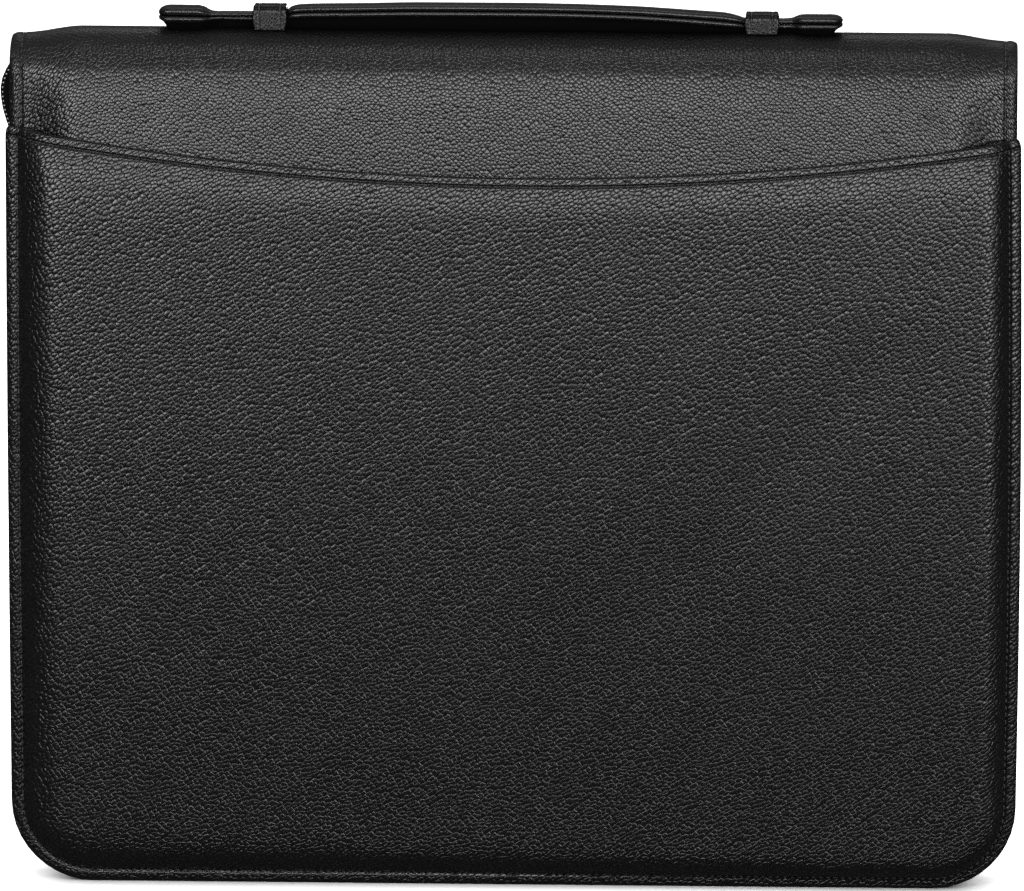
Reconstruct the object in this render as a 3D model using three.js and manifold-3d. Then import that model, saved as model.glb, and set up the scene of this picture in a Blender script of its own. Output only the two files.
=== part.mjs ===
// Zip-round leather document case with a strap handle that slides in two loops on its spine.
// Millimetres, +Z up. The case stands on its lower edges. The spine is on top along X, the front at -Y.

import * as THREE from "three";
import { mergeVertices } from "three/addons/utils/BufferGeometryUtils.js";
import Module from "manifold-3d";

// Driving dimensions

const GAP = 0.3; // clearance between pieces that lie on each other

const COVER = {
  width: 357.2, // stitched edge to stitched edge
  height: 307, // floor to the top of the spine at its right end
  spineLean: 1.2, // how much higher the spine stands at its left end
  cornerRadius: 28, // lower corners of the front and the back
  edgeDepth: 13.5, // half depth at the stitched edges
  sidePadding: 6.5, // how far front and back swell out past the stitched edges
  spinePadding: 2.5, // the same on top of the spine
  taperHeight: 240, // above this, front and back draw in towards the spine
  tuck: 2, // how far the front draws in behind the pocket
  tuckHeight: 250, // the front begins to draw in here, and is fully in a little lower
  tuckReach: 25,
  flange: 4.5, // flat stitched border
  swell: 18, // width of the slope from the border up to the padding
  spineSwell: 23.5, // the same along the spine's ends
  spineSwellHeight: 200, // above this, the slope widens towards the spine
  wall: 2.6,
};

const POCKET = {
  overhang: 1.4, // how far its turned edge wraps past the cover's edge
  hemHeight: 257.5, // lowest point of the curved mouth, above the floor
  hemCentre: 8, // X of that lowest point
  hemRise: 0.000474, // rise of the mouth per square millimetre away from it
  mouthGap: 1.1, // slack between the hem and the cover
  room: 3.4, // greatest depth of the space inside
  lipMiddle: 0.5, // how far the panel steps out just below the hem, at its middle and at its ends
  lipSide: 1.2,
  hemSlope: 14, // height of that step
  flange: 4.3,
  swell: 9, // width of the steep slope at its sewn edges
  wall: 2,
};

const ZIP = {
  inset: 5, // chain's middle, in from the cover's edge
  chainWidth: 5.2,
  chainThickness: 2.4,
  chainShoulder: 0.6, // bevel along the chain's edges
  tape: 1, // thickness of the woven tape
  seam: 6.5, // tape sewn under the cover's border
  topHalfWidth: 4, // half width of the tape where it ends under the spine
  bulge: 8.3, // how far the slack end of the chain stands out on the left
  bulgeHeight: 285.2,
  bulgeAbove: 20, // reach of the bulge above and below its middle
  bulgeBelow: 33,
};

const LOOP = {
  width: 11.7, // along the handle
  halfDepth: 5.2,
  wall: 1.6,
  round: 2.2, // outer bend radius
};

// The two handle loops: X of the middle, and the height of the top above the spine.
const LOOPS = [
  { name: "handle_loop_left", x: -86.7, top: 9 },
  { name: "handle_loop_right", x: 88.1, top: 7.2 },
];

// Sections of the two-ply handle strap from its left end to its right end: half width, thickness of
// each ply, height of the lower ply's edge above the spine, and whether the padded core is below it.
const HANDLE_SECTIONS = [
  { x: -126.2, half: 2.8, ply: 2.3, under: 2.9, core: 0 },
  { x: -125.2, half: 4.6, ply: 2.7, under: 2.6, core: 0 },
  { x: -122.5, half: 5.9, ply: 2.8, under: 2.5, core: 1 },
  { x: -114, half: 6, ply: 2.8, under: 2.5, core: 1 },
  { x: -109.5, half: 5, ply: 2.4, under: 2.7, core: 1 },
  { x: -106, half: 3.4, ply: 1.5, under: 3.4, core: 1 },
  { x: -103, half: 3, ply: 1.3, under: 3.7, core: 1 },
  { x: -86.7, half: 3, ply: 1.3, under: 3.7, core: 1 },
  { x: -81.2, half: 3.1, ply: 1.35, under: 3.8, core: 1 },
  { x: -79.2, half: 4.6, ply: 1.7, under: 4.5, core: 1 },
  { x: -76, half: 5.3, ply: 1.85, under: 4.9, core: 1 },
  { x: -68, half: 5.4, ply: 1.9, under: 5.1, core: 1 },
  { x: -54, half: 5.5, ply: 1.9, under: 5.3, core: 1 },
  { x: -33, half: 5.5, ply: 1.95, under: 5.6, core: 1 },
  { x: 0, half: 5.5, ply: 1.95, under: 5.6, core: 1 },
  { x: 17, half: 5.5, ply: 1.95, under: 5.4, core: 1 },
  { x: 38.5, half: 5.5, ply: 1.9, under: 4.9, core: 1 },
  { x: 60, half: 5.5, ply: 1.9, under: 3.7, core: 1 },
  { x: 74, half: 5.3, ply: 2, under: 2.6, core: 1 },
  { x: 79.5, half: 4.2, ply: 1.7, under: 2.2, core: 1 },
  { x: 82, half: 3.1, ply: 1.5, under: 1.9, core: 1 },
  { x: 95.5, half: 3, ply: 1.5, under: 1.8, core: 1 },
  { x: 99, half: 3.6, ply: 1.6, under: 1.8, core: 1 },
  { x: 103, half: 5.5, ply: 2.2, under: 1.5, core: 1 },
  { x: 108, half: 6, ply: 2.3, under: 1.4, core: 1 },
  { x: 113, half: 5.9, ply: 2.3, under: 1.4, core: 1 },
  { x: 115.7, half: 4.6, ply: 2.2, under: 1.5, core: 0 },
  { x: 116.7, half: 2.8, ply: 1.9, under: 1.8, core: 0 },
];

// Padded core under the lower ply.
const CORE = {
  share: 0.6, // of the strap's width
  taper: 0.4, // how much narrower it is at its lower face, on each side
  clearance: 0.4, // between its lower face and the spine
};

const SLIDER = {
  height: 283, // middle of the body, above the floor
  length: 11,
  width: 8.4,
  plate: 1.7,
  plateRound: 2.4,
  postWidth: 3,
  postLength: 5.5,
  postRound: 0.8,
  postTop: 1, // from the body's upper end
  pullLength: 24,
  pullWidth: 6,
  pullThickness: 1.3,
  pullRound: 1.8,
  pullTop: 1.5, // from the body's upper end
  holeRadius: 1.6,
  holeHeight: 4.9, // above the pull's lower end
  sink: 0.2, // overlap that joins post, body and pull
};

// Values worked out from the dimensions

const spineZ = COVER.height - COVER.spinePadding - COVER.edgeDepth; // axis of the rounded spine
const spineTurn = Math.PI * COVER.edgeDepth; // length of the border over the spine
const coverLength = 2 * spineZ + spineTurn; // length of the border from front floor to back floor
const coverHalf = COVER.width / 2;
const cornerX = coverHalf - COVER.cornerRadius;
const frontFace = COVER.edgeDepth + COVER.sidePadding + POCKET.room + POCKET.wall;
const backFace = COVER.edgeDepth + COVER.sidePadding;
const centreShift = (frontFace - backFace) / 2; // sets the origin midway between front and back

const LEATHER = { color: 0x17181a, roughness: 0.45, metalness: 0 };
const MATERIALS = {
  leather: new THREE.MeshStandardMaterial(LEATHER),
  edge: new THREE.MeshStandardMaterial({ ...LEATHER, roughness: 0.3 }),
  tape: new THREE.MeshStandardMaterial({ color: 0x101011, roughness: 0.9, metalness: 0 }),
  coil: new THREE.MeshStandardMaterial({ color: 0x141416, roughness: 0.4, metalness: 0 }),
  metal: new THREE.MeshStandardMaterial({ color: 0x2a2b2d, roughness: 0.35, metalness: 0.9 }),
};

// Small helpers

const smooth = (t) => THREE.MathUtils.smoothstep(t, 0, 1);

// Values from first to last in equal steps, both ends included.
function steps(first, last, count) {
  return Array.from({ length: count + 1 }, (_, i) => first + ((last - first) * i) / count);
}

function named(name, geometry, material) {
  const mesh = new THREE.Mesh(geometry, material);
  mesh.name = name;
  return mesh;
}

// Flat-shaded geometry from points and polygons of three or four corners.
function polygonGeometry(points, faces) {
  const index = [];
  for (const [a, b, c, d] of faces) {
    index.push(a, b, c);
    if (d !== undefined) index.push(a, c, d);
  }
  const geometry = new THREE.BufferGeometry();
  geometry.setAttribute("position", new THREE.Float32BufferAttribute(points.flat(), 3));
  geometry.setIndex(index);
  geometry.computeVertexNormals();
  return geometry;
}

// Closes two matching skins into one wall: the inner one is turned over, a strip joins the free edges.
function wallGeometry(outer, inner, faces) {
  const count = outer.length;
  const turned = faces.map((face) => face.map((i) => i + count).reverse());
  const edges = new Map();
  for (const face of faces) {
    face.forEach((a, k) => {
      const b = face[(k + 1) % face.length];
      if (!edges.delete(`${b},${a}`)) edges.set(`${a},${b}`, [a, b]);
    });
  }
  const strip = [...edges.values()].map(([a, b]) => [b, a, a + count, b + count]);
  return polygonGeometry([...outer, ...inner], [...faces, ...turned, ...strip]);
}

// Plan of a panel: a grid of columns and rows with a rim round it that turns the corners as arcs.
// Each point has its x, the row it belongs to, its reach past that row, and its inset from the edge.
function panelPlan({ columns, rows, radius, insets, cornerSteps, topRim }) {
  const lastColumn = columns.length - 1;
  const lastRow = rows.length - 1;
  const points = [];
  const faces = [];
  const gridIndex = (i, j) => j * columns.length + i;
  rows.forEach((row) => columns.forEach((x) => points.push({ x, row, reach: 0, inset: radius })));
  for (let j = 0; j < lastRow; j += 1) {
    for (let i = 0; i < lastColumn; i += 1) {
      faces.push([gridIndex(i, j), gridIndex(i + 1, j), gridIndex(i + 1, j + 1), gridIndex(i, j + 1)]);
    }
  }

  const path = [];
  const side = (cells, angle) => cells.forEach(([i, j]) => path.push({ i, j, angle }));
  const corner = (i, j, from) => {
    const turns = steps(from, from + Math.PI / 2, cornerSteps).slice(1, -1);
    turns.forEach((angle) => path.push({ i, j, angle }));
  };
  const columnIds = [...columns.keys()];
  const rowIds = [...rows.keys()];
  side(rowIds.map((j) => [0, j]).reverse(), Math.PI);
  corner(0, 0, Math.PI);
  side(columnIds.map((i) => [i, 0]), -Math.PI / 2);
  corner(lastColumn, 0, -Math.PI / 2);
  side(rowIds.map((j) => [lastColumn, j]), 0);
  if (topRim) {
    corner(lastColumn, lastRow, 0);
    side(columnIds.map((i) => [i, lastRow]).reverse(), Math.PI / 2);
    corner(0, lastRow, Math.PI / 2);
  }

  let outerRing = null;
  for (const inset of [...insets, radius]) {
    const ring = path.map(({ i, j, angle }) => {
      if (inset === radius) return gridIndex(i, j);
      const width = radius - inset;
      const x = columns[i] + width * Math.cos(angle);
      points.push({ x, row: rows[j], reach: width * Math.sin(angle), inset });
      return points.length - 1;
    });
    if (outerRing) {
      const last = topRim ? ring.length : ring.length - 1;
      for (let k = 0; k < last; k += 1) {
        const next = (k + 1) % ring.length;
        const quad = [outerRing[k], outerRing[next], ring[next], ring[k]];
        faces.push(quad.filter((id, n) => id !== quad[(n + 1) % quad.length]));
      }
    }
    outerRing = ring;
  }
  return { points, faces };
}

// Sweeps a section along stations, each a list of its corners in space. Polygons close both ends.
function sweptGeometry(stations, endFaces) {
  const corners = stations[0].length;
  const faces = [];
  for (let s = 0; s < stations.length - 1; s += 1) {
    for (let k = 0; k < corners; k += 1) {
      const next = (k + 1) % corners;
      const here = s * corners;
      const there = here + corners;
      faces.push([here + k, here + next, there + next, there + k]);
    }
  }
  const end = (stations.length - 1) * corners;
  const first = endFaces.map((face) => [...face].reverse());
  const last = endFaces.map((face) => face.map((k) => k + end));
  return polygonGeometry(stations.flat(), [...faces, ...first, ...last]);
}

// Cover: one sheet of leather over boards, from the front's lower edge over the spine to the back's

// Point of the sheet at x and a length along the border, raised above the border's outer face.
function wrap(x, along, height) {
  const radius = COVER.edgeDepth + height;
  const leg = Math.min(along, coverLength - along);
  const lift = leanAt(x) * smooth((leg - COVER.taperHeight) / (spineZ - COVER.taperHeight));
  if (along <= spineZ) return [x, -radius, along + lift];
  if (along >= spineZ + spineTurn) return [x, radius, coverLength - along + lift];
  const angle = (along - spineZ) / COVER.edgeDepth;
  return [x, -radius * Math.cos(angle), spineZ + radius * Math.sin(angle) + lift];
}

// How much higher the spine stands at x than at its right end.
function leanAt(x) {
  return COVER.spineLean * (0.5 - x / COVER.width);
}

// Full padding at a length along the border: it eases from the sides to the spine's top.
function paddingAt(along) {
  const rise = Math.min(along, coverLength - along) - COVER.taperHeight;
  const share = smooth(rise / (coverLength / 2 - COVER.taperHeight));
  return COVER.sidePadding + (COVER.spinePadding - COVER.sidePadding) * share;
}

// How far the front is drawn in at a length along the border.
function tuckAt(along) {
  return along < spineZ ? COVER.tuck * smooth((COVER.tuckHeight - along) / COVER.tuckReach) : 0;
}

function coverHeight(along, inset) {
  const rise = Math.min(along, coverLength - along) - COVER.spineSwellHeight;
  const nearSpine = smooth(rise / (spineZ - COVER.spineSwellHeight));
  const swell = COVER.swell + (COVER.spineSwell - COVER.swell) * nearSpine;
  return (paddingAt(along) - tuckAt(along)) * smooth((inset - COVER.flange) / swell);
}

function coverGeometry() {
  const legRows = [
    ...steps(COVER.cornerRadius, COVER.tuckHeight - COVER.tuckReach, 3),
    ...steps(COVER.taperHeight, spineZ, 4),
  ];
  const turnRows = steps(spineZ, spineZ + spineTurn, 12);
  const plan = panelPlan({
    columns: steps(-cornerX, cornerX, 6),
    rows: [...legRows, ...turnRows.slice(1, -1), ...legRows.map((row) => coverLength - row).reverse()],
    radius: COVER.cornerRadius,
    insets: [0, ...steps(COVER.flange, COVER.flange + COVER.swell, 5)],
    cornerSteps: 6,
    topRim: true,
  });
  const skin = (depth) =>
    plan.points.map(({ x, row, reach, inset }) => {
      const along = row + reach;
      return wrap(x, along, coverHeight(along, inset) - depth);
    });
  return wallGeometry(skin(0), skin(COVER.wall), plan.faces);
}

// Front pocket: a panel sewn over the front along three edges, open at its curved hem

const pocketRadius = COVER.cornerRadius + POCKET.overhang;

function hemHeight(x) {
  return POCKET.hemHeight + POCKET.hemRise * (x - POCKET.hemCentre) ** 2;
}

// Height of the pocket's inner face above the border: a step below the hem, then a full belly.
// inset is from its sewn edge.
function pocketHeight(x, z, inset) {
  const top = hemHeight(x);
  const drop = top - z;
  const sideways = Math.min(1, ((x - POCKET.hemCentre) / (coverHalf + POCKET.overhang)) ** 2);
  const lip = POCKET.lipMiddle + (POCKET.lipSide - POCKET.lipMiddle) * sideways;
  const belly = (POCKET.room - POCKET.mouthGap - lip) * Math.sin((Math.PI * drop) / top);
  const level = paddingAt(z) + POCKET.mouthGap + lip * smooth(drop / POCKET.hemSlope) + belly;
  return GAP + (level - GAP) * smooth((inset - POCKET.flange) / POCKET.swell);
}

function pocketGeometry() {
  const panelRise = POCKET.hemHeight - pocketRadius;
  const hemDrops = [...steps(0, POCKET.hemSlope, 5), ...steps(POCKET.hemSlope, panelRise, 5).slice(1)];
  const plan = panelPlan({
    columns: steps(-cornerX, cornerX, 8),
    rows: hemDrops.map((drop) => 1 - drop / panelRise).reverse(),
    radius: pocketRadius,
    insets: [0, ...steps(POCKET.flange, POCKET.flange + POCKET.swell, 4)],
    cornerSteps: 6,
    topRim: false,
  });
  const skin = (depth) =>
    plan.points.map(({ x, row, reach, inset }) => {
      const top = hemHeight(x);
      const z = pocketRadius + row * (top - pocketRadius) + reach;
      return [x, -(COVER.edgeDepth + pocketHeight(x, z, inset) + POCKET.wall - depth), z];
    });
  return wallGeometry(skin(0), skin(POCKET.wall), plan.faces);
}

// Zip: two tapes sewn under the borders and the closed chain between them

const zipRadius = COVER.cornerRadius - ZIP.inset;
const tapeDepth = COVER.edgeDepth - COVER.wall - GAP; // half depth of the room between the borders
const zipTop = spineZ + Math.sqrt(tapeDepth ** 2 - ZIP.topHalfWidth ** 2);

// Half depth between the borders at a height: constant on the sides, round under the spine.
function tapeHalf(z) {
  const rise = Math.max(0, z - spineZ);
  return Math.sqrt(tapeDepth ** 2 - rise ** 2);
}

// How far the chain stands out of its line on the left side.
function bulgeAt(z) {
  const reach = z > ZIP.bulgeHeight ? ZIP.bulgeAbove : ZIP.bulgeBelow;
  const share = Math.min(1, Math.abs(z - ZIP.bulgeHeight) / reach);
  return ZIP.bulge * Math.cos((share * Math.PI) / 2) ** 2;
}

// Stations of the zip from the top left, under the case, to the top right.
function zipStations() {
  const archHeights = steps(zipTop, spineZ, 5);
  const bulgeHeights = steps(spineZ, ZIP.bulgeHeight - ZIP.bulgeBelow, 10);
  const sideHeights = steps(ZIP.bulgeHeight - ZIP.bulgeBelow, COVER.cornerRadius, 3);
  const heights = [...archHeights, ...bulgeHeights.slice(1), ...sideHeights.slice(1)];
  const arc = (turn) => ({ centre: turn < 0 ? -cornerX : cornerX, angle: -Math.PI / 2 + turn });
  const turns = steps(0, Math.PI / 2, 8).slice(1, -1);
  const left = heights.map((z) => ({ x: -coverHalf + ZIP.inset, z, out: [-1, 0], bulge: bulgeAt(z) }));
  const right = heights.map((z) => ({ x: coverHalf - ZIP.inset, z, out: [1, 0], bulge: 0 })).reverse();
  const corner = (list) =>
    list.map(arc).map(({ centre, angle }) => ({
      x: centre + zipRadius * Math.cos(angle),
      z: COVER.cornerRadius + zipRadius * Math.sin(angle),
      out: [Math.cos(angle), Math.sin(angle)],
      bulge: 0,
    }));
  const bottom = steps(-cornerX, cornerX, 4).map((x) => ({ x, z: ZIP.inset, out: [0, -1], bulge: 0 }));
  const leftTurns = turns.map((turn) => -turn).reverse();
  return [...left, ...corner(leftTurns), ...bottom, ...corner(turns), ...right];
}

// Sweeps section corners { out, y, lean } along the zip. A corner with lean 1 follows the bulge fully.
function alongZip(sectionAt) {
  return zipStations().map((station) =>
    sectionAt(station).map(({ out, y, lean }) => {
      const move = out + lean * station.bulge;
      return [station.x + station.out[0] * move, y, station.z + station.out[1] * move];
    }),
  );
}

// L-shaped tape: the long leg crosses to the chain, the short one lies under the border.
// side is -1 in front.
function tapeGeometry(side) {
  const half = ZIP.tape / 2;
  const chainSide = ZIP.chainWidth / 2 + GAP;
  const stations = alongZip(({ z }) => {
    const sewn = tapeHalf(z);
    const bend = Math.max(sewn - ZIP.tape, chainSide);
    const section = [
      { out: half, y: chainSide, lean: 1 },
      { out: half, y: sewn, lean: 0 },
      { out: half - ZIP.seam, y: sewn, lean: 0 },
      { out: half - ZIP.seam, y: bend, lean: 0 },
      { out: -half, y: bend, lean: 0 },
      { out: -half, y: chainSide, lean: 1 },
    ].map((corner) => ({ ...corner, y: side * corner.y }));
    return side < 0 ? section.reverse() : section;
  });
  return sweptGeometry(stations, [[0, 1, 4, 5], [1, 2, 3, 4]]);
}

function chainGeometry() {
  const halfWidth = ZIP.chainWidth / 2;
  const halfThick = ZIP.chainThickness / 2;
  const flatHalf = halfWidth - ZIP.chainShoulder;
  const stations = alongZip(() =>
    [
      { out: halfThick, y: -flatHalf },
      { out: halfThick, y: flatHalf },
      { out: 0, y: halfWidth },
      { out: -halfThick, y: flatHalf },
      { out: -halfThick, y: -flatHalf },
      { out: 0, y: -halfWidth },
    ].map((corner) => ({ ...corner, lean: 1 })),
  );
  return sweptGeometry(stations, [[0, 1, 2, 5], [2, 3, 4, 5]]);
}

// Handle: two plies of one outline, the upper on the lower, and a padded core below the lower one

const PLY_ROUND = 0.45; // bend radius of a ply's edges, as a share of its thickness
const PLY_CORNERS = 12;

// Rounded section of a ply in the YZ plane: half width and height of its lower and upper face.
// A core of a given depth below the ply adds four corners.
function plySection(x, half, low, high, depth) {
  const round = PLY_ROUND * (high - low);
  const arcs = [
    { y: half - round, z: high - round, from: 0 },
    { y: -half + round, z: high - round, from: Math.PI / 2 },
    { y: -half + round, z: low + round, from: Math.PI },
    { y: half - round, z: low + round, from: (3 * Math.PI) / 2 },
  ];
  const turn = steps(0, Math.PI / 2, PLY_CORNERS / 4 - 1);
  const corners = arcs.map(({ y, z, from }) =>
    turn.map((angle) => [x, y + round * Math.cos(from + angle), z + round * Math.sin(from + angle)]),
  );
  if (depth === undefined) return corners.flat();
  const wide = CORE.share * half;
  const narrow = wide - CORE.taper;
  const core = [[x, -wide, low], [x, -narrow, low - depth], [x, narrow, low - depth], [x, wide, low]];
  return [...corners.slice(0, 3).flat(), ...core, ...corners[3]];
}

function plyGeometry(upper) {
  const stations = HANDLE_SECTIONS.map(({ x, half, ply, under, core }) => {
    const low = COVER.height + under;
    if (upper) return plySection(x, half, low + ply + GAP, low + 2 * ply + GAP);
    return plySection(x, half, low, low + ply, core * (under - leanAt(x) - CORE.clearance));
  });
  const fan = Array.from({ length: stations[0].length - 2 }, (_, k) => [0, k + 1, k + 2]);
  return sweptGeometry(stations, fan);
}

// Handle loop: a leather bridge over the strap, with its feet on the spine

// Height of the spine's surface at x and a depth from its middle.
function spineSurface(x, y) {
  let angle = Math.PI / 2;
  for (let n = 0; n < 12; n += 1) {
    const radius = COVER.edgeDepth + paddingAt(spineZ + angle * COVER.edgeDepth);
    angle = Math.acos(Math.min(1, Math.abs(y) / radius));
  }
  const radius = COVER.edgeDepth + paddingAt(spineZ + angle * COVER.edgeDepth);
  return spineZ + radius * Math.sin(angle) + leanAt(x);
}

function loopGeometry(x, top) {
  const outer = LOOP.halfDepth;
  const inner = outer - LOOP.wall;
  const high = COVER.height + top;
  const innerRound = LOOP.round - LOOP.wall;
  const footOut = spineSurface(x, outer) + GAP;
  const footIn = spineSurface(x, inner) + GAP;
  const shape = new THREE.Shape();
  shape.moveTo(outer, footOut);
  shape.lineTo(outer, high - LOOP.round);
  shape.absarc(outer - LOOP.round, high - LOOP.round, LOOP.round, 0, Math.PI / 2, false);
  shape.lineTo(-outer + LOOP.round, high);
  shape.absarc(-outer + LOOP.round, high - LOOP.round, LOOP.round, Math.PI / 2, Math.PI, false);
  shape.lineTo(-outer, footOut);
  shape.lineTo(-inner, footIn);
  shape.lineTo(-inner, high - LOOP.round);
  shape.absarc(-inner + innerRound, high - LOOP.round, innerRound, Math.PI, Math.PI / 2, true);
  shape.lineTo(inner - innerRound, high - LOOP.wall);
  shape.absarc(inner - innerRound, high - LOOP.round, innerRound, Math.PI / 2, 0, true);
  shape.lineTo(inner, footIn);
  return new THREE.ExtrudeGeometry(shape, { depth: LOOP.width, bevelEnabled: false, curveSegments: 5 });
}

// Zip slider: body and pull in one piece, parked at the top of the right side

const wasm = await Module();
wasm.setup();

function toSolid(geometry) {
  const bare = geometry.index ? geometry.toNonIndexed() : geometry.clone();
  bare.deleteAttribute("normal");
  bare.deleteAttribute("uv");
  const merged = mergeVertices(bare, 1e-4);
  return new wasm.Manifold(
    new wasm.Mesh({
      numProp: 3,
      vertProperties: merged.attributes.position.array,
      triVerts: new Uint32Array(merged.index.array),
    }),
  );
}

function toGeometry(solid) {
  const { numProp, numVert, vertProperties, triVerts } = solid.getMesh();
  const positions = new Float32Array(numVert * 3);
  for (let i = 0; i < numVert; i += 1) {
    positions.set(vertProperties.subarray(i * numProp, i * numProp + 3), i * 3);
  }
  const geometry = new THREE.BufferGeometry();
  geometry.setAttribute("position", new THREE.BufferAttribute(positions, 3));
  geometry.setIndex(new THREE.BufferAttribute(triVerts, 1));
  geometry.computeVertexNormals();
  return geometry;
}

// Round-cornered plate in the slider's plane, extruded outwards from a level. holes are [x, y, radius].
function plate(width, low, high, level, thickness, round, holes = []) {
  const half = width / 2;
  const shape = new THREE.Shape();
  shape.moveTo(half, low + round);
  shape.absarc(half - round, high - round, round, 0, Math.PI / 2, false);
  shape.absarc(-half + round, high - round, round, Math.PI / 2, Math.PI, false);
  shape.absarc(-half + round, low + round, round, Math.PI, (3 * Math.PI) / 2, false);
  shape.absarc(half - round, low + round, round, (3 * Math.PI) / 2, 2 * Math.PI, false);
  for (const [x, y, radius] of holes) {
    const hole = new THREE.Path();
    hole.absarc(x, y, radius, 0, 2 * Math.PI, true);
    shape.holes.push(hole);
  }
  const extrusion = { depth: thickness, bevelEnabled: false, curveSegments: 4 };
  return toSolid(new THREE.ExtrudeGeometry(shape, extrusion).translate(0, 0, level));
}

function sliderGeometry() {
  const top = SLIDER.length / 2;
  const postTop = top - SLIDER.postTop;
  const pullTop = top - SLIDER.pullTop;
  const pullLow = pullTop - SLIDER.pullLength;
  const pullLevel = SLIDER.plate + SLIDER.sink;
  const postLevel = SLIDER.plate - SLIDER.sink;
  const postHigh = pullLevel + SLIDER.sink;
  const hole = [0, pullLow + SLIDER.holeHeight, SLIDER.holeRadius];
  const body = plate(SLIDER.width, -top, top, 0, SLIDER.plate, SLIDER.plateRound);
  const postLow = postTop - SLIDER.postLength;
  const post = plate(
    SLIDER.postWidth, postLow, postTop, postLevel, postHigh - postLevel, SLIDER.postRound,
  );
  const pull = plate(
    SLIDER.pullWidth, pullLow, pullTop, pullLevel, SLIDER.pullThickness, SLIDER.pullRound, [hole],
  );
  return toGeometry(body.add(post).add(pull));
}

// Assembly

// Turns a geometry's X, Y, Z into the case's Y, Z, X.
function sectionToCase(geometry) {
  const turn = new THREE.Matrix4().makeBasis(
    new THREE.Vector3(0, 1, 0),
    new THREE.Vector3(0, 0, 1),
    new THREE.Vector3(1, 0, 0),
  );
  return geometry.applyMatrix4(turn);
}

const body = new THREE.Group();
body.add(named("cover", coverGeometry(), MATERIALS.leather));
body.add(named("front_pocket", pocketGeometry(), MATERIALS.leather));

const zip = new THREE.Group();
zip.add(named("zip_tape_front", tapeGeometry(-1), MATERIALS.tape));
zip.add(named("zip_tape_back", tapeGeometry(1), MATERIALS.tape));
zip.add(named("zip_chain", chainGeometry(), MATERIALS.coil));
const slider = named("zip_slider", sectionToCase(sliderGeometry()), MATERIALS.metal);
slider.position.set(coverHalf - ZIP.inset + ZIP.chainThickness / 2 + GAP, 0, SLIDER.height);
zip.add(slider);

const handle = new THREE.Group();
handle.add(named("handle_lower", plyGeometry(false), MATERIALS.edge));
handle.add(named("handle_upper", plyGeometry(true), MATERIALS.edge));
for (const { name, x, top } of LOOPS) {
  const loop = named(name, sectionToCase(loopGeometry(x, top)), MATERIALS.leather);
  loop.position.x = x - LOOP.width / 2;
  handle.add(loop);
}

const documentCase = new THREE.Group();
documentCase.add(body, zip, handle);
documentCase.position.y = centreShift;

export default documentCase;
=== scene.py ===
"""Zip-round leather document case with a strap handle.

Lengths are in millimetres until a mesh is made. X runs along the spine, the pocket side faces -Y, Z is up.
"""

import math

import bpy
import numpy as np
from mathutils import Matrix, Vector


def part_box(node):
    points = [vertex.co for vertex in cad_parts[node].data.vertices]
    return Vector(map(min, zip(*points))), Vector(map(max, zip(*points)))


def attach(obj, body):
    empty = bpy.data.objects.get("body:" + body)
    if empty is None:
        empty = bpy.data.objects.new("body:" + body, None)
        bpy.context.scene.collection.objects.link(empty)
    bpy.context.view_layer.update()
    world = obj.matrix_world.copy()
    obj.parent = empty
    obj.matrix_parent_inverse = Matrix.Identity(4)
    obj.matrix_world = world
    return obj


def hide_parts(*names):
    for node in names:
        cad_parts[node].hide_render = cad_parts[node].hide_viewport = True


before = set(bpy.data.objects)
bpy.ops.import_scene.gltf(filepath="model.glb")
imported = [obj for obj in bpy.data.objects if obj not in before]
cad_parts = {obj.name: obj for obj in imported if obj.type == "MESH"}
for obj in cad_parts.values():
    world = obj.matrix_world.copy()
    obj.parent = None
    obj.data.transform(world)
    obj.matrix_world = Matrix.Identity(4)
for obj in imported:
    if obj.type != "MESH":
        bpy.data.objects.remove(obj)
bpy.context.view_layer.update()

# Driving dimensions

MM = 0.001
BODY = "root"
QUARTER = math.pi / 2
DEPTH = np.array([0.0, 1.0, 0.0])


def box_mm(node):
    """A CAD node's lowest and highest corner in millimetres."""
    low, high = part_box(node)
    return np.array(low) / MM, np.array(high) / MM


cover_low, cover_high = box_mm("cover")
_, pocket_high = box_mm("front_pocket")
chain_low, chain_high = box_mm("zip_chain")
slider_low, slider_high = box_mm("zip_slider")

MIDDLE_Y = (chain_low[1] + chain_high[1]) / 2
GAP = 0.3  # clearance between neighbouring pieces
INNER_ROUND = 0.25  # rounding of the sheets' inner edges

COVER = {
    "half": cover_high[0],
    "height": 307.0,
    "lean": 1.2,  # how much higher the spine stands at its left end
    "corner": 28.0,
    "side_padding": 6.5,
    "spine_padding": 2.5,
    "taper": 240.0,  # height from which the padding thins towards the spine
    "tuck": 2.0,  # how far the front draws in behind the pocket
    "tuck_height": 250.0,
    "tuck_reach": 25.0,
    "flange": 4.5,  # width of the flat border
    "swell": 18.0,  # width of the rise to full padding
    "spine_swell": 21.0,
    "spine_swell_height": 200.0,
    "shoulder": 1.1,  # how far the turn of the spine draws in
    "shoulder_height": 296.0,
    "shoulder_reach": 7.5,
    "wall": 2.6,
    "bead": (2.8, 1.6),  # width and fall of the rounded border
}

POCKET = {
    "half": pocket_high[0],
    "hem": 257.5,
    "hem_centre": 8.0,
    "hem_rise": 0.000474,
    "mouth": 1.1,
    "room": 3.4,
    "lip_middle": 0.5,
    "lip_side": 1.0,
    "hem_slope": 14.0,
    "flange_left": 4.0,
    "flange_right": 3.0,
    "swell_left": 19.5,
    "swell_right": 12.0,
    "bow_left": 0.3,  # how far its sides bow out at half height
    "bow_right": 1.1,
    "bow_from": 0.6,  # share of its half width where the bow starts
    "wall": 2.0,
    "bead": (3.4, 1.65),
    "shoulder": (4.0, 1.6),  # height and width of the rounded upper corners
}

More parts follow.
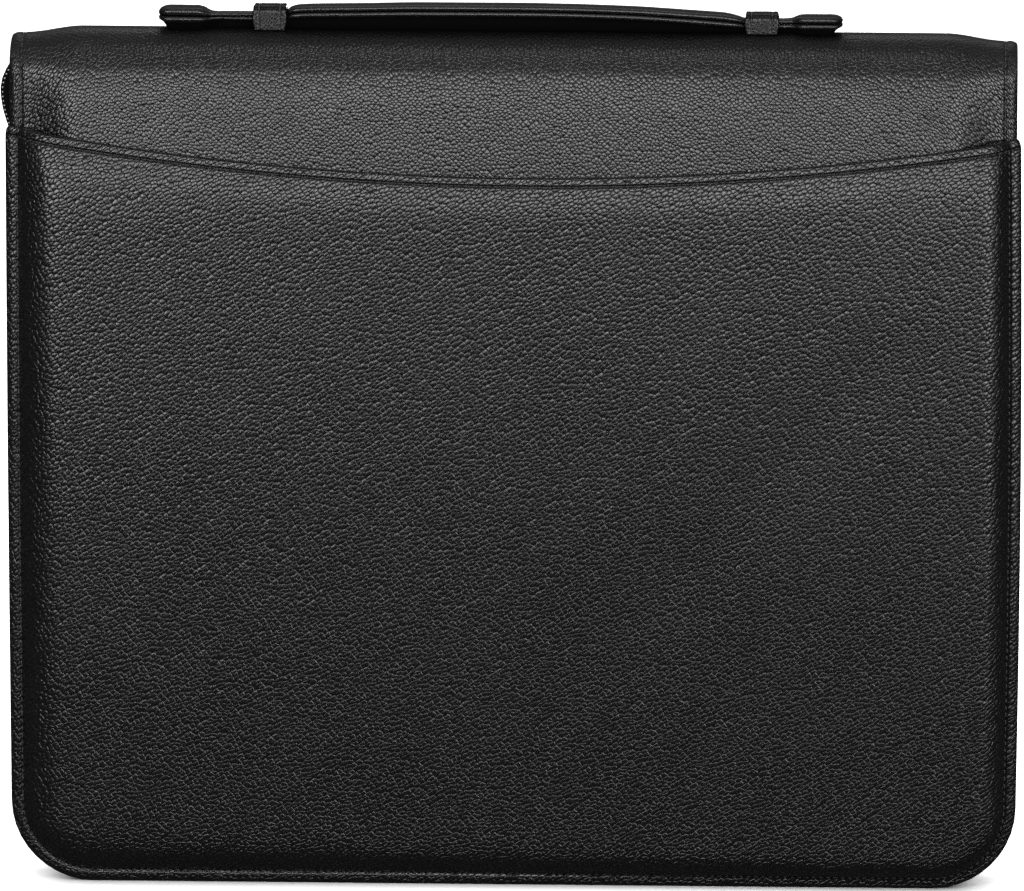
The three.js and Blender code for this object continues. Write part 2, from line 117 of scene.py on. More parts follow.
# Shallow dent across the pocket: its ends, half width and depth, and how it fades out at its ends.
DENT = {"from": (137.0, 201.0), "to": (38.0, 89.0), "width": 15.0, "depth": 0.55, "lead": 15.0, "fade": 40.0}

HEM = {
    "ridge": 0.5,  # height of the turned edge
    "slope_middle": 0.06,  # how it thickens downwards, at its middle and at its ends
    "slope_side": -0.02,
    "ridge_end": 2.8,
    "ridge_blend": 0.5,
    "stitch_drop": 3.1,
    "groove": 0.5,
    "groove_width": 0.45,
    "round": 0.45,
    "follow_from": 0.6,  # share of the pocket's height where its mesh starts to follow the hem
    "follow_reach": 0.3,
}

# The pocket's grain leans up to the right. The cover's is drawn out slantwise towards its sides.
POCKET_GRAIN = {"lean": 0.4, "scale": 0.92, "shift": 500.0}
COVER_GRAIN = {"scale": 1.14, "from": 138.0, "reach": 40.0, "slant": 0.95}

# Mesh lines in from the edges: first place, then stops, each with the longest step up to it.
COVER_INSETS = (0.0, (1.2, 0.2), (3.4, 0.55), (5.2, 0.22), (8.0, 0.7), (26.0, 1.45))
POCKET_INSETS = (0.0, (1.0, 0.2), (3.3, 0.55), (5.2, 0.22), (13.4, 0.6), (20.0, 1.1), (26.0, 2.0))
HEM_DROPS = (0.0, (1.0, 0.2), (4.2, 0.2), (14.0, 0.7), (20.0, 1.5))
PANEL_STEP = 4.0
CORNER_STEPS = 10

SEAM = {"inset": 4.3, "pitch": 2.6, "length": 2.0, "thread": 0.3, "slant": 0.16, "depth": 0.45, "width": 0.55}
SEAM_LIFT = 0.35 * SEAM["thread"]  # how high a stitch's middle line lies over the leather
SEAM_STEP = 2.0  # between points of a seam's line
SEAM_CORNER_STEPS = 23

ZIP = {
    "inset": 5.0,
    "chain_width": 5.2,
    "tape": 0.8,
    "tape_overlap": 0.6,  # how far a tape reaches under the chain
    "tape_turn": 1.6,
    "tape_clearance": 0.1,
    "tape_lean": 1.4,  # how fast the bulge dies out across a tape
    "seam": 6.0,
    "top_half_width": 4.0,
    "bulge": 7.9,
    "bulge_height": 285.2,
    "bulge_above": 20.0,
    "bulge_below": 33.0,
    "pitch": 1.6,  # from tooth to tooth on one side
}
# A tooth's half width and half height, what its head adds, where the head ends and how it blends in.
TOOTH = {"wide": 0.34, "tall": 0.6, "head_wide": 0.1, "head_tall": 0.4, "head": 0.35, "blend": 0.25}
TOOTH_OVERLAP = 0.9  # how far a tooth reaches past the middle of the chain
CHAIN_CORE = (1.2, 1.5)  # half width and half height of the cord in the chain

LOOP = {
    "width": 12.4,
    "half_depth": 5.2,
    "wall": 1.6,
    "round": 2.2,
    "edge": 0.7,
    "foot_gap": 0.05,
    "drawn_in": 0.1,  # share of its width lost at its feet, then at its top
    "crown": 0.06,
}
LOOP_SEAM = {"offset": 3.7, "groove": 0.3, "width": 0.4, "thread": 0.26, "sunk": 0.2, "end": 1.2}
LOOP_SHIFT = 300.0  # moves the loops' grain away from the cover's
LOOPS = [
    {"side": "left", "x": -86.5, "top": 9.2},
    {"side": "right", "x": 88.1, "top": 7.2},
]

# Sections of the handle strap: x, half width, thickness of each ply, underside above the spine.
STRAP = [
    (-126.2, 6.0, 2.8, 2.6),
    (-112.4, 6.0, 2.8, 2.5),
    (-109.8, 5.0, 2.4, 2.7),
    (-107.4, 3.3, 1.5, 3.4),
    (-105.0, 3.0, 1.3, 3.7),
    (-86.7, 3.0, 1.3, 3.7),
    (-81.2, 3.1, 1.35, 3.8),
    (-79.2, 4.6, 1.7, 4.5),
    (-76.0, 5.3, 1.85, 4.9),
    (-68.0, 5.4, 1.9, 5.1),
    (-54.0, 5.5, 1.9, 5.3),
    (-33.0, 5.5, 1.95, 5.6),
    (0.0, 5.5, 1.95, 5.6),
    (17.0, 5.5, 1.95, 5.4),
    (38.5, 5.5, 1.9, 4.9),
    (60.0, 5.5, 1.9, 3.7),
    (74.0, 5.3, 2.0, 2.6),
    (79.5, 4.2, 1.7, 2.2),
    (82.0, 3.1, 1.5, 1.9),
    (95.5, 3.0, 1.5, 1.8),
    (98.6, 3.3, 1.6, 1.8),
    (101.4, 5.2, 2.2, 1.5),
    (104.0, 6.0, 2.3, 1.4),
    (116.7, 6.0, 2.3, 1.4),
]
STRAP_CROWN = 0.35  # fall of a ply's upper face towards its edges
STRAP_TIP = {
    "length": 4.5,  # of a paddle's rounded end
    "power": 2.6,  # of its outline, squarer than an ellipse
    "inner": (1.3, 0.3),  # rounding of a ply's inner and outer faces: length, share of the ply
    "outer": (4.2, 0.65),
}
STRAP_SEAM = {"inset": 1.5, "groove": 0.22, "width": 0.5, "thread": 0.24, "lift": 0.05, "end": 5.0}
GROOVED_HALF = 2.0  # least half width of the strap that has grooves
# Black filler under the lower ply, standing in for the shadow under the strap, as shares of the strap's
# width, and the thinner ply at the paddles.
CORE = {"share": 0.68, "clearance": 0.05, "blend": 0.15, "tip_from": 1.5, "tip_reach": 3.0}
PADDLE = {"share": 0.98, "from": 96.0, "reach": 10.0, "thinning": 0.25}

CAMERA = {
    "azimuth": 2.5,
    "elevation": 10.19,
    "distance": 3271.0,
    "aim": (-0.52, 0.0, 158.1),
    "focal_px": 9152.0,
    "image_px": 1024.0,
    "sensor": 36.0,
}

# Studio lights in metres and watts: name, place, aim, width, height, power, False if no reflection shows it.
LIGHTS = [
    ("left_softbox", (-0.42, -0.8, 0.35), (0, 0, 0.22), 0.35, 0.3, 2.1),
    ("right_softbox", (0.42, -0.8, 0.30), (0, 0, 0.22), 0.35, 0.3, 1.9),
    ("front_softbox", (0.0, -0.8, 0.39), (0, 0, 0.22), 0.25, 0.2, 1.1),
    ("far_right_softbox", (0.74, -0.58, 0.32), (0, 0, 0.2), 0.28, 0.3, 0.4),
    ("middle_softbox", (0.0, -0.8, 0.53), (0, 0, 0.24), 0.3, 0.2, 0.08),
    ("upper_softbox", (0.0, -0.75, 0.78), (0, 0, 0.28), 0.9, 0.34, 0.12),
    ("top_softbox", (0.0, -0.5, 1.2), (0, 0, 0.25), 0.5, 0.25, 0.36),
    ("back_softbox", (0.0, 0.8, 1.2), (0, 0, 0.3), 0.9, 0.4, 0.8),
    ("back_middle_softbox", (0.0, 0.8, 0.15), (0, 0, 0.15), 0.36, 0.22, 2.2),
    ("floor_light", (0, 0.8, 2.2), (0, 0.8, 0), 6.0, 7.0, 420.0, False),
]

# Values worked out from the dimensions

EDGE_DEPTH = (cover_high[1] - cover_low[1]) / 2 - COVER["side_padding"]  # of the border, from the middle
SPINE_Z = COVER["height"] - COVER["spine_padding"] - EDGE_DEPTH
SPINE_TURN = math.pi * EDGE_DEPTH
COVER_LENGTH = 2 * SPINE_Z + SPINE_TURN
CORNER_X = COVER["half"] - COVER["corner"]
POCKET_CORNER = COVER["corner"] + POCKET["half"] - COVER["half"]
TAPE_DEPTH = EDGE_DEPTH - COVER["wall"] - GAP
ZIP_TOP = SPINE_Z + math.sqrt(TAPE_DEPTH**2 - ZIP["top_half_width"] ** 2)
STRAP_X, STRAP_HALF, STRAP_PLY, STRAP_RISE = np.array(STRAP).T
STRAP_START = STRAP_X[0]
STRAP_END = STRAP_X[-1]

# Small helpers


def smooth(t):
    t = np.clip(t, 0.0, 1.0)
    return t * t * (3 - 2 * t)


def bump(value, centre, width):
    return np.exp(-(((value - centre) / width) ** 2))


def between(low, high, share):
    return low + (high - low) * share


def unit(vectors):
    return vectors / np.maximum(np.linalg.norm(vectors, axis=-1, keepdims=True), 1e-12)


def turns(count):
    """Angles of a full turn in equal steps."""
    return np.linspace(0, 2 * math.pi, count, endpoint=False)


def spaced(*stops):
    """Values through stops (first, (next, step), ...), each stretch in equal steps up to its step."""
    values = [stops[0]]
    for stop, step in stops[1:]:
        count = max(1, math.ceil(abs(stop - values[-1]) / step - 1e-6))
        values.extend(np.linspace(values[-1], stop, count + 1)[1:])
    return np.array(values)


def travelled(points):
    """Length along a line of points at each of them."""
    return np.concatenate([[0], np.cumsum(np.linalg.norm(np.diff(points, axis=0), axis=1))])


def read_off(where, travel, *columns):
    """Values of each column at lengths along a line."""
    return [np.interp(where, travel, column) for column in columns]


def curve_through(xs, ys, at):
    """Smooth curve through points that never overshoots them."""
    step = np.diff(xs)
    slope = np.diff(ys) / step
    same_way = slope[:-1] * slope[1:] > 0
    total = np.where(same_way, slope[:-1] + slope[1:], 1)
    middle = np.where(same_way, 2 * slope[:-1] * slope[1:] / total, 0)
    tangent = np.concatenate([[0.0], middle, [0.0]])
    cell = np.clip(np.searchsorted(xs, at) - 1, 0, len(step) - 1)
    t = np.clip((at - xs[cell]) / step[cell], 0, 1)
    h = step[cell]
    rest = 1 - t
    start = ys[cell] * (1 + 2 * t) * rest**2 + h * tangent[cell] * t * rest**2
    end = ys[cell + 1] * t**2 * (3 - 2 * t) - h * tangent[cell + 1] * t**2 * rest
    return start + end


def edge_round(inset, width, fall):
    """How far a rounded edge falls away from its flat face, at an inset from the edge."""
    left = 1 - np.clip(inset / width, 0, 1)
    return fall * (1 - np.sqrt(1 - left**2))


def show(name, data):
    """New object in the scene."""
    shown = bpy.data.objects.new(name, data)
    bpy.context.scene.collection.objects.link(shown)
    return shown


def make_piece(name, points, faces, surface, flat=None, nodes=()):
    """Smooth-shaded mesh piece from millimetre points, with an optional flat layout for its pattern."""
    mesh = bpy.data.meshes.new(name)
    mesh.from_pydata((np.asarray(points) * MM).tolist(), [], faces)
    mesh.validate()
    mesh.polygons.foreach_set("use_smooth", np.ones(len(mesh.polygons), bool))
    if flat is not None:
        layer = mesh.uv_layers.new(name="flat")
        corner = np.empty(len(mesh.loops), int)
        mesh.loops.foreach_get("vertex_index", corner)
        layer.uv.foreach_set("vector", (np.asarray(flat)[corner] * MM).astype(np.float32).ravel())
    piece = show(name, mesh)
    mesh.materials.append(surface)
    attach(piece, BODY)
    if nodes:
        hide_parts(*nodes)
    return piece


def sweep(stations):
    """Points and faces of a section swept along stations (stations, corners, 3), closed at both ends."""
    count, corners, _ = stations.shape
    faces = []
    for s in range(count - 1):
        here = s * corners
        for k in range(corners):
            after = (k + 1) % corners
            faces.append([here + k, here + after, here + corners + after, here + corners + k])
    faces.append(list(range(corners - 1, -1, -1)))
    faces.append([(count - 1) * corners + k for k in range(corners)])
    return stations.reshape(-1, 3), faces


def rim_route(half, radius, inset, start, finish, step, corner_steps):
    """Route at an inset along a panel's left side, lower edge and right side: x, z, outward x and z."""
    turn = radius - inset
    straight = half - radius
    arc = [(math.cos(a), math.sin(a)) for a in np.linspace(0, QUARTER, corner_steps + 1)[1:-1]]
    rows = [(inset - half, z, -1.0, 0.0) for z in spaced(start, (radius, step))]
    rows += [(-straight - turn * c, radius - turn * s, -c, -s) for c, s in arc]
    rows += [(x, inset, 0.0, -1.0) for x in spaced(-straight, (straight, step))]
    rows += [(straight + turn * s, radius - turn * c, s, -c) for c, s in arc]
    rows += [(half - inset, z, 1.0, 0.0) for z in spaced(radius, (finish, step))]
    return np.array(rows)


def off_route(route, out):
    """Places at distances out from a flat route of two coordinates and their outward directions."""
    return route[:, 0:1] + route[:, 2:3] * out, route[:, 1:2] + route[:, 3:4] * out


def flat_grid(along, across):
    """Flat layout of a swept section, from its lengths along and across."""
    return np.stack(np.broadcast_arrays(along, across), -1).reshape(-1, 2)


def joined(parts):
    """Points and faces of several parts as one mesh."""
    points = []
    faces = []
    start = 0
    for part_points, part_faces in parts:
        points.append(part_points)
        faces.extend([[i + start for i in face] for face in part_faces])
        start += len(part_points)
    return np.concatenate(points), faces


def close_skins(outer, inner, faces):
    """Joins two matching skins into one wall: points and faces of the closed sheet."""
    count = len(outer)
    edges = {}
    for face in faces:
        for a, b in zip(face, face[1:] + face[:1]):
            if not edges.pop((b, a), False):
                edges[(a, b)] = True
    turned = [[i + count for i in reversed(face)] for face in faces]
    strip = [[b, a, a + count, b + count] for a, b in edges]
    return np.concatenate([outer, inner]), faces + turned + strip


def panel_plan(rows, radius, insets, top_rim):
    """Grid with a rim that turns the corners as arcs: x, row, reach and faces of a panel lying flat."""
    columns = spaced(-CORNER_X, (CORNER_X, PANEL_STEP))
    last_column = len(columns) - 1
    last_row = len(rows) - 1
    points = [(x, row, 0.0) for row in rows for x in columns]

    def grid(i, j):
        return j * len(columns) + i

    faces = [
        [grid(i, j), grid(i + 1, j), grid(i + 1, j + 1), grid(i, j + 1)]
        for j in range(last_row)
        for i in range(last_column)
    ]

    def corner(i, j, start):
        return [(i, j, start + QUARTER * k / CORNER_STEPS) for k in range(1, CORNER_STEPS)]

    path = [(0, j, math.pi) for j in range(last_row, -1, -1)]
    path += corner(0, 0, math.pi)
    path += [(i, 0, -QUARTER) for i in range(last_column + 1)]
    path += corner(last_column, 0, -QUARTER)
    path += [(last_column, j, 0.0) for j in range(last_row + 1)]
    if top_rim:
        path += corner(last_column, last_row, 0.0)
        path += [(i, last_row, QUARTER) for i in range(last_column, -1, -1)]
        path += corner(0, last_row, QUARTER)

    outer_ring = None
    for inset in [*insets, radius]:
        ring = []
        for i, j, angle in path:
            if inset == radius:
                ring.append(grid(i, j))
                continue
            width = radius - inset
            points.append((columns[i] + width * math.cos(angle), rows[j], width * math.sin(angle)))
            ring.append(len(points) - 1)
        if outer_ring:
            for k in range(len(ring) if top_rim else len(ring) - 1):
                after = (k + 1) % len(ring)
                quad = [outer_ring[k], outer_ring[after], ring[after], ring[k]]
                faces.append([a for n, a in enumerate(quad) if a != quad[(n + 1) % 4]])
        outer_ring = ring
    return np.array(points), faces


# Shapes of the leather sheets


def spine_lean(x):
    """How much higher the spine stands at x than at its right end."""
    return COVER["lean"] * (0.5 - x / (2 * COVER["half"]))


def leg_height(along):
    """Length up from the nearer lower edge of the cover."""
    return np.minimum(along, COVER_LENGTH - along)


def wrap(x, along, height):
    """Points of the cover at x and a length along its border, raised above the border's outer face."""
    radius = EDGE_DEPTH + height
    angle = np.clip((along - SPINE_Z) / EDGE_DEPTH, 0, math.pi)
    front_leg = np.minimum(along - SPINE_Z, 0)
    back_leg = np.maximum(along - SPINE_Z - SPINE_TURN, 0)
    lean = spine_lean(x) * smooth((leg_height(along) - COVER["taper"]) / (SPINE_Z - COVER["taper"]))
    y = MIDDLE_Y - radius * np.cos(angle)
    z = SPINE_Z + radius * np.sin(angle) + front_leg - back_leg + lean
    return np.stack([x, y, z], -1)


def padding(along):
    """Full height of the cover's padding above its border."""
    rise = leg_height(along) - COVER["taper"]
    share = smooth(rise / (COVER_LENGTH / 2 - COVER["taper"]))
    return between(COVER["side_padding"], COVER["spine_padding"], share)


def rim_inset(x, up, half, radius):
    """Distance in from a panel's rounded lower edge and straight sides."""
    across = np.maximum(np.abs(x) - (half - radius), 0)
    down = np.maximum(radius - up, 0)
    return radius - np.hypot(across, down)


def cover_inset(x, along):
    return rim_inset(x, leg_height(along), COVER["half"], COVER["corner"])


def pocket_inset(x, z):
    return rim_inset(x, z, POCKET["half"], POCKET_CORNER)


def cover_level(x, along):
    """Height of the cover's padding above its border."""
    leg = leg_height(along)
    near_spine = smooth((leg - COVER["spine_swell_height"]) / (SPINE_Z - COVER["spine_swell_height"]))
    swell = between(COVER["swell"], COVER["spine_swell"], near_spine)
    tuck = COVER["tuck"] * smooth((COVER["tuck_height"] - along) / COVER["tuck_reach"])
    shoulder = COVER["shoulder"] * bump(leg, COVER["shoulder_height"], COVER["shoulder_reach"])
    return (padding(along) - tuck - shoulder) * smooth((cover_inset(x, along) - COVER["flange"]) / swell)


def cover_surface(x, along, lift=0.0):
    """Outer face of the cover with its stitched border."""
    inset = cover_inset(x, along)
    height = cover_level(x, along)
    height -= SEAM["depth"] * bump(inset, SEAM["inset"], SEAM["width"])
    height -= edge_round(inset, *COVER["bead"])
    return wrap(x, along, height + lift)


def cover_lining(x, along):
    """Inner face of the cover."""
    height = cover_level(x, along) - COVER["wall"]
    return wrap(x, along, height + edge_round(cover_inset(x, along), INNER_ROUND, INNER_ROUND))


def hem_height(x):
    """Height of the pocket's hem, a shallow curve."""
    return POCKET["hem"] + POCKET["hem_rise"] * (x - POCKET["hem_centre"]) ** 2


def sideways(x):
    """From 0 at the middle of the hem to 1 at its ends."""
    return np.clip(((x - POCKET["hem_centre"]) / POCKET["half"]) ** 2, 0, 1)


def swelling(share):
    """Rise from a border: a smooth start over its first eighth, then easing out."""
    share = np.clip(share, 0, 1)
    return smooth(np.minimum(share * 8, 1)) * (1 - (1 - share) ** 3)


def dent(x, z):
    """Depth of the pocket's dent."""
    start = np.array(DENT["from"])
    run = np.array(DENT["to"]) - start
    length = np.hypot(*run)
    ahead = ((x - start[0]) * run[0] + (z - start[1]) * run[1]) / length
    aside = ((x - start[0]) * run[1] - (z - start[1]) * run[0]) / length
    ends = smooth((ahead + DENT["lead"]) / DENT["fade"])
    ends = ends * smooth((length + DENT["lead"] - ahead) / DENT["fade"])
    return DENT["depth"] * ends * bump(aside, 0, DENT["width"])


def pocket_level(x, z):
    """Height of the pocket's inner face above the border: a lip below the hem, then a full belly."""
    top = hem_height(x)
    drop = top - z
    lip = between(POCKET["lip_middle"], POCKET["lip_side"], sideways(x))
    belly = POCKET["room"] - POCKET["mouth"] - lip
    level = padding(z) + POCKET["mouth"] + lip * smooth(drop / POCKET["hem_slope"])
    level = level + belly * np.sin(math.pi * np.clip(drop / top, 0, 1)) - dent(x, z)
    rightness = smooth((x / POCKET["half"] + 1) / 2)
    flange = between(POCKET["flange_left"], POCKET["flange_right"], rightness)
    swell = between(POCKET["swell_left"], POCKET["swell_right"], rightness)
    return between(GAP, level, swelling((pocket_inset(x, z) - flange) / swell))


def pocket_bow(x, z):
    """How far the pocket's sides bow out sideways."""
    height = np.sin(math.pi * np.clip(z / hem_height(x), 0, 1))
    outside = (np.abs(x) / POCKET["half"] - POCKET["bow_from"]) / (1 - POCKET["bow_from"])
    bow = np.where(x < 0, POCKET["bow_left"], POCKET["bow_right"])
    shoulder = edge_round(hem_height(x) - z, *POCKET["shoulder"])
    return np.sign(x) * smooth(outside) * (bow * height - shoulder)


def on_front(x, z, height):
    """Points of the pocket at a height above the border's outer face."""
    return np.stack([x + pocket_bow(x, z), MIDDLE_Y - EDGE_DEPTH - height, z], -1)


def pocket_surface(x, z, lift=0.0):
    """Outer face of the pocket with its hem and its stitched border."""
    inset = pocket_inset(x, z)
    drop = hem_height(x) - z
    height = pocket_level(x, z) + POCKET["wall"]
    height -= SEAM["depth"] * bump(inset, SEAM["inset"], SEAM["width"])
    slope = between(HEM["slope_middle"], HEM["slope_side"], sideways(x))
    ridge = (HEM["ridge"] + slope * drop) * smooth((HEM["ridge_end"] - drop) / HEM["ridge_blend"])
    height += ridge - HEM["groove"] * bump(drop, HEM["stitch_drop"], HEM["groove_width"])
    height -= edge_round(inset, *POCKET["bead"]) + edge_round(drop, HEM["round"], HEM["round"])
    return on_front(x, z, height + lift)


def pocket_lining(x, z):
    """Inner face of the pocket."""
    height = pocket_level(x, z)
    for inset in (pocket_inset(x, z), hem_height(x) - z):
        height = height + edge_round(inset, INNER_ROUND, INNER_ROUND)
    return on_front(x, z, height)


# Materials


def grey(level, blue=0.0):
    return (level, level, level + blue, 1)


def fill(tree, node, inputs):
    """Sets a node's inputs from values, or links them from sockets."""
    for key, value in inputs.items():
        if isinstance(value, bpy.types.NodeSocket):
            tree.links.new(value, node.inputs[key])
        else:
            node.inputs[key].default_value = value


def shade(tree, kind, inputs=None, **settings):
    """Adds a shader node and returns its outputs."""
    node = tree.nodes.new("ShaderNode" + kind)
    for key, value in settings.items():
        setattr(node, key, value)
    fill(tree, node, inputs or {})
    return node.outputs


def maths(tree, operation, *values):
    return shade(tree, "Math", dict(enumerate(values)), operation=operation)[0]


def spread(tree, value, low, high, to_low, to_high):
    """Maps low..high smoothly onto to_low..to_high."""
    inputs = {"Value": value, "From Min": low, "From Max": high, "To Min": to_low, "To Max": to_high}
    return shade(tree, "MapRange", inputs, interpolation_type="SMOOTHSTEP")["Result"]


def noise(tree, place, scale, detail):
    return shade(tree, "TexNoise", {"Vector": place, "Scale": scale, "Detail": detail})


def object_noise(tree, scale, detail):
    """Noise in the object's own coordinates."""
    return noise(tree, shade(tree, "TexCoord")["Object"], scale, detail)["Fac"]


def cells(tree, place, scale, randomness, feature):
    """Irregular cells of the flat layout."""
    inputs = {"Vector": place, "Scale": scale, "Randomness": randomness}
    return shade(tree, "TexVoronoi", inputs, voronoi_dimensions="2D", feature=feature)


def relieved(tree, height, distance, strength):
    """Normal of a surface with a fine relief, its distance in metres."""
    return shade(tree, "Bump", {"Strength": strength, "Distance": distance, "Height": height})["Normal"]


def two_tone(tree, factor, dark, light):
    return shade(tree, "Mix", {"Factor": factor, "A": dark, "B": light}, data_type="RGBA")["Result"]


def flat_layout(tree):
    return shade(tree, "UVMap", uv_map="flat")["UV"]


def material(name, finish, **sizes):
    """Material with the surface inputs that a finish works out on its node tree."""
    made = bpy.data.materials.new(name)
    made.use_nodes = True
    tree = made.node_tree
    fill(tree, tree.nodes["Principled BSDF"], finish(tree, **sizes))
    return made


def leather(tree, grain, relief, roughness, shine):
    """Pebbled black leather: size and height of its pebbles in metres, its roughness and its shine."""
    turn = {"Vector": flat_layout(tree), "Angle": math.radians(45)}
    flat = shade(tree, "VectorRotate", turn, rotation_type="Z_AXIS")["Vector"]
    place = flat
    # The pebbles drift: how many waves to a pebble, how many pebbles far.
    for waves, reach in ((0.11, 1.6), (0.6, 0.4)):
        drift = noise(tree, flat, waves / grain, 1.0)["Color"]
        centred = shade(tree, "VectorMath", {0: drift, 1: (0.5, 0.5, 0.5)}, operation="SUBTRACT")[0]
        moved = shade(tree, "VectorMath", {0: centred, "Scale": reach * grain}, operation="SCALE")[0]
        place = shade(tree, "VectorMath", {0: place, 1: moved}, operation="ADD")[0]

    edges = cells(tree, place, 1 / grain, 0.75, "DISTANCE_TO_EDGE")["Distance"]
    pebble = cells(tree, place, 1 / grain, 0.75, "F1")
    wrinkles = cells(tree, place, 2.4 / grain, 1.0, "DISTANCE_TO_EDGE")["Distance"]
    chance = shade(tree, "SeparateColor", {"Color": pebble["Color"]})["Red"]
    crease = spread(tree, edges, 0.0, 0.15, 0.0, 1.0)
    dome = maths(tree, "MULTIPLY", pebble["Distance"], pebble["Distance"])
    lifted = maths(tree, "MULTIPLY", chance, crease)
    fine = spread(tree, wrinkles, 0.0, 0.12, 0.0, 1.0)
    grit = noise(tree, flat, 4 / grain, 3.0)["Fac"]
    # Each part of the relief counts by its share of a pebble's height.
    height = maths(tree, "MULTIPLY", dome, -3.0)
    for part, share in ((crease, 1.0), (lifted, 0.15), (fine, 0.08), (grit, 0.08)):
        height = maths(tree, "ADD", height, maths(tree, "MULTIPLY", part, share))

    patches = noise(tree, flat, 28.0, 3.0)["Fac"]
    worn = maths(tree, "MULTIPLY_ADD", patches, 0.10, roughness - 0.05)
    return {
        # Base colour darker in the creases between the pebbles: painted shade.
        "Base Color": two_tone(tree, crease, grey(0.0006), grey(0.0020, 0.0001)),
        "Roughness": maths(tree, "ADD", worn, spread(tree, crease, 0.0, 1.0, 0.12, 0.0)),
        "Normal": relieved(tree, height, relief, 1.0),
        "Specular IOR Level": shine,
    }


def painted_shade_black(tree):
    """Near-black, almost unreflecting leather for the strap's underside and the filler under it: painted
    shade standing in for the shadow under the handle.
    """
    nap = object_noise(tree, 2500.0, 3.0)
    return {
        "Base Color": grey(0.001),
        "Roughness": spread(tree, nap, 0.3, 0.7, 0.82, 0.95),
        "Normal": relieved(tree, nap, 0.00006, 0.6),
        "Specular IOR Level": 0.05,
    }


def thread(tree):
    """Twisted black sewing thread."""
    twist = object_noise(tree, 4200.0, 2.0)
    return {
        "Base Color": two_tone(tree, twist, grey(0.006), grey(0.035, 0.001)),
        "Roughness": 0.42,
        "Normal": relieved(tree, twist, 0.00008, 0.8),
    }


def woven_tape(tree):
    """Woven zip tape: rows of ribs across and along the flat layout."""
    flat = flat_layout(tree)

    def ribs(scale, direction):
        inputs = {"Vector": flat, "Scale": scale, "Distortion": 0.4}
        return shade(tree, "TexWave", inputs, bands_direction=direction)["Fac"]

    weave = maths(tree, "MULTIPLY", ribs(420.0, "X"), ribs(300.0, "Y"))
    return {
        "Base Color": two_tone(tree, weave, grey(0.001), grey(0.004)),
        "Roughness": 0.8,
        "Normal": relieved(tree, weave, 0.00012, 0.9),
        "Specular IOR Level": 0.06,
    }


def coil_nylon_painted_glints(tree):
    """Slightly scuffed nylon of the zip's coil, given a mid grey base colour though the coil is black:
    painted glints.
    """
    scuffs = object_noise(tree, 900.0, 3.0)
    return {
        # Mid grey base colour on a black coil: painted glints.
        "Base Color": grey(0.22, 0.005),
        "Roughness": spread(tree, scuffs, 0.3, 0.7, 0.22, 0.34),
        "Specular IOR Level": 0.9,
    }


def enamel(tree):
    """Black enamelled metal with slightly worn gloss."""
    wear = object_noise(tree, 600.0, 4.0)
    return {
        "Base Color": grey(0.02, 0.001),
        "Roughness": spread(tree, wear, 0.35, 0.7, 0.22, 0.4),
        "Metallic": 0.7,
    }


def pale_floor(tree):
    return {"Base Color": grey(0.83), "Roughness": 0.9}


POCKET_LEATHER = material("pocket_leather", leather, grain=1.48e-3, relief=82e-6, roughness=0.24, shine=0.9)
COVER_LEATHER = material("cover_leather", leather, grain=1.48e-3, relief=64e-6, roughness=0.24, shine=0.9)
STRAP_LEATHER = material("strap_leather", leather, grain=1.2e-3, relief=20e-6, roughness=0.22, shine=0.9)
LOOP_LEATHER = material("loop_leather", leather, grain=1.1e-3, relief=16e-6, roughness=0.25, shine=0.45)
PAINTED_SHADE_BLACK = material("strap_underside_painted_shade", painted_shade_black)
THREAD = material("sewing_thread", thread)
TAPE = material("zip_tape_weave", woven_tape)
COIL = material("zip_coil_nylon", coil_nylon_painted_glints)
METAL = material("slider_enamel", enamel)
FLOOR = material("pale_floor", pale_floor)

# Cover and pocket


def cover_piece():
    leg_rows = spaced(COVER["corner"], (COVER["taper"], 4.0), (SPINE_Z, 2.5))
    turn_rows = spaced(SPINE_Z, (SPINE_Z + SPINE_TURN, 1.3))
    rows = [*leg_rows, *turn_rows[1:-1], *(COVER_LENGTH - leg_rows)[::-1]]
    plan, faces = panel_plan(rows, COVER["corner"], spaced(*COVER_INSETS), True)
    x = plan[:, 0]
    along = plan[:, 1] + plan[:, 2]
    drawn = np.maximum(np.abs(x) - COVER_GRAIN["from"], 0) ** 2 / (2 * COVER_GRAIN["reach"])
    grain = np.stack([x, along + COVER_GRAIN["slant"] * drawn], -1) * COVER_GRAIN["scale"]
    points, faces = close_skins(cover_surface(x, along), cover_lining(x, along), faces)
    flat = np.tile(grain, (2, 1))
    return make_piece("cover_leather", points, faces, COVER_LEATHER, flat, ["cover"])


def pocket_piece():
    rise = POCKET["hem"] - POCKET_CORNER
    drops = spaced(*HEM_DROPS, (rise, PANEL_STEP))
    plan, faces = panel_plan((1 - drops / rise)[::-1], POCKET_CORNER, spaced(*POCKET_INSETS), False)
    x = plan[:, 0]
    top = hem_height(x)
    near_hem = top - (1 - plan[:, 1]) * rise
    stretched = POCKET_CORNER + plan[:, 1] * (top - POCKET_CORNER)
    following = smooth((plan[:, 1] - HEM["follow_from"]) / HEM["follow_reach"])
    z = between(stretched, near_hem, following) + plan[:, 2]
    grain_x = x + POCKET_GRAIN["shift"] - POCKET_GRAIN["lean"] * z
    grain = np.stack([grain_x, z], -1) * POCKET_GRAIN["scale"]
    points, faces = close_skins(pocket_surface(x, z), pocket_lining(x, z), faces)
    flat = np.tile(grain, (2, 1))
    return make_piece("pocket_leather", points, faces, POCKET_LEATHER, flat, ["front_pocket"])


cover = cover_piece()
pocket = pocket_piece()

# Stitches


def stitch_template(length, radius):
    """One stitch along X, bowed so that its ends dive into the leather."""
    rings = np.linspace(-1, 1, 9)[:, None]
    turn = turns(8)
    size = radius * np.sqrt(np.maximum(1 - np.abs(rings) ** 5, 0.02))
    y = size * np.cos(turn)
    z = size * np.sin(turn) - radius * 1.5 * np.abs(rings) ** 3
    return np.stack([np.repeat(rings * length / 2, len(turn), 1), y, z], -1)


